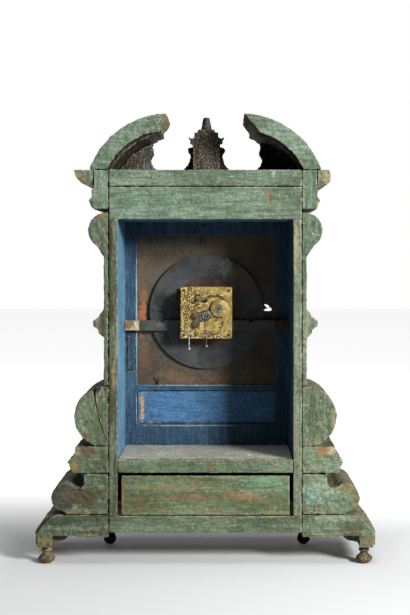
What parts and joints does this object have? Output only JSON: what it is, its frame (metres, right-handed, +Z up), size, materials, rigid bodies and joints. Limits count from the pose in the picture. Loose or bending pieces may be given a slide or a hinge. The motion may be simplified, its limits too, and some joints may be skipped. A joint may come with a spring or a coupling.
{
  "type": "wandering hour clock",
  "caption": "Baroque altar-shaped wooden night clock seen from its open back, with a square brass movement on an iron bar, a turning hour carrier, scrolled wings and a drawer below.",
  "frame": {"origin": "on the floor below the middle of the bounding box", "axes": "+Z up; -Y towards the dial side, +Y towards the open back; +X to the right seen from the dial side"},
  "size_m": [0.776, 0.2636, 1.026],
  "materials": {
    "inside_blue_paint": "worn matt blue paint on old wood",
    "board_blue_paint": "worn matt dark blue paint on old wood",
    "green_paint": "weathered sea-green paint on old wood",
    "dusty_shelf": "dusty grey wood",
    "dark_walnut": "dark waxed wood",
    "black_stain": "black stained, gouged wood",
    "old_gilding": "worn ochre and gilding on turned wood",
    "bare_wood": "bare pale wood",
    "aged_copper": "brown oxidised copper sheet",
    "dark_iron": "dark forged iron",
    "pierced_sheet": "thin pierced brass sheet",
    "movement_brass": "old lacquered brass",
    "green_brass": "brass with green tarnish",
    "movement_steel": "old polished steel"
  },
  "bodies": {
    "case": {"left_wall": "inside_blue_paint", "right_wall": "inside_blue_paint", "frieze_rail": "green_paint", "cornice_rail": "green_paint", "base_rail": "green_paint", "shelf_rail": "green_paint", "shelf_board": "dusty_shelf", "ceiling_board": "inside_blue_paint", "roof_board": "green_paint", "bottom_board": "green_paint", "front_board": "board_blue_paint", "lower_panel": "board_blue_paint", "front_mouldings": "dark_walnut", "front_columns": "dark_walnut", "cornice_moulding": "green_paint", "entablature_blocks": "green_paint", "upper_scrolls": "green_paint", "lower_scrolls": "green_paint", "plinth_caps": "green_paint", "plinth_blocks": "green_paint", "foot_boards": "green_paint", "pediment_arches": "green_paint", "tympanum_panels": "black_stain", "pedestal": "black_stain", "finial_stub": "black_stain", "turned_feet": "old_gilding", "ball_feet": "black_stain", "drawer_guides": "bare_wood", "dial_plate": "aged_copper", "dial_nails": "dark_iron", "hook_staple": "dark_iron", "iron_bar": "dark_iron", "bar_blocks": "bare_wood", "front_plate": "movement_brass", "back_plate": "movement_brass", "plate_pillars": "movement_brass", "movement_fasteners": "movement_steel", "pendulum_cock": "green_brass", "barrel_cap": "movement_brass", "regulator_work": "movement_steel", "click_spring": "movement_steel", "carrier_post": "movement_steel"},
    "drawer": {"drawer_front": "dark_walnut", "drawer_box": "green_paint", "drawer_knob": "dark_walnut"},
    "centre": {"centre_wheel": "movement_brass"},
    "carrier": {"carrier_ring": "dark_iron", "carrier_disc": "aged_copper", "carrier_mask": "dark_iron", "carrier_wheel": "movement_brass"},
    "odd_disc": {"odd_hour_disc": "pierced_sheet"},
    "even_disc": {"even_hour_disc": "pierced_sheet"},
    "spring_barrel": {"barrel": "movement_brass"},
    "third": {"third_wheel": "movement_brass"},
    "escape": {"escape_wheel": "movement_brass"},
    "winding": {"winding_arbor": "movement_steel"},
    "click_lever": {"click": "movement_steel"},
    "swing": {"pendulum": "movement_steel"},
    "stop": {"stop_lever": "movement_steel"},
    "wire_hook": {"hook": "dark_iron"}
  },
  "joints": [
    {"name": "drawer_slide", "type": "slide", "parent": "case", "child": "drawer", "axis": [0, -1, 0], "range_m": [0, 0.17]},
    {"name": "centre_spin", "type": "hinge", "parent": "case", "child": "centre", "pos_m": [-0.00635, 0, 0.58859], "axis": [0, -1, 0], "continuous": true},
    {"name": "carrier_spin", "type": "hinge", "parent": "case", "child": "carrier", "pos_m": [0, 0, 0.5605], "axis": [0, -1, 0], "continuous": true},
    {"name": "odd_disc_spin", "type": "hinge", "parent": "carrier", "child": "odd_disc", "pos_m": [0.071, 0, 0.5605], "axis": [0, -1, 0], "continuous": true},
    {"name": "even_disc_spin", "type": "hinge", "parent": "carrier", "child": "even_disc", "pos_m": [-0.071, 0, 0.5605], "axis": [0, -1, 0], "continuous": true},
    {"name": "barrel_spin", "type": "hinge", "parent": "case", "child": "spring_barrel", "pos_m": [-0.031, 0, 0.5715], "axis": [0, -1, 0], "continuous": true},
    {"name": "third_spin", "type": "hinge", "parent": "case", "child": "third", "pos_m": [0.0179, 0, 0.57459], "axis": [0, -1, 0], "continuous": true},
    {"name": "escape_spin", "type": "hinge", "parent": "case", "child": "escape", "pos_m": [0.0198, 0, 0.55267], "axis": [0, -1, 0], "continuous": true},
    {"name": "winding_spin", "type": "hinge", "parent": "case", "child": "winding", "pos_m": [-0.031, 0, 0.5715], "axis": [0, -1, 0], "continuous": true},
    {"name": "click_pivot", "type": "hinge", "parent": "case", "child": "click_lever", "pos_m": [-0.026, 0, 0.5455], "axis": [0, -1, 0], "range_deg": [0, 12]},
    {"name": "pendulum_pivot", "type": "hinge", "parent": "case", "child": "swing", "pos_m": [0, 0, 0.5555], "axis": [0, -1, 0], "range_deg": [-8, 8]},
    {"name": "stop_pivot", "type": "hinge", "parent": "case", "child": "stop", "pos_m": [0.041, 0, 0.5105], "axis": [0, -1, 0], "range_deg": [-20, 20]},
    {"name": "hook_pivot", "type": "hinge", "parent": "case", "child": "wire_hook", "pos_m": [0.189, 0, 0.499], "axis": [0, -1, 0], "range_deg": [-60, 4]}
  ],
  "couplings": [
    {"joint": "carrier_spin", "follows": "centre_spin", "ratio": -0.125},
    {"joint": "odd_disc_spin", "follows": "centre_spin", "ratio": 0.020833},
    {"joint": "even_disc_spin", "follows": "centre_spin", "ratio": 0.020833},
    {"joint": "barrel_spin", "follows": "centre_spin", "ratio": -0.11111},
    {"joint": "third_spin", "follows": "centre_spin", "ratio": -9},
    {"joint": "escape_spin", "follows": "centre_spin", "ratio": 81}
  ]
}
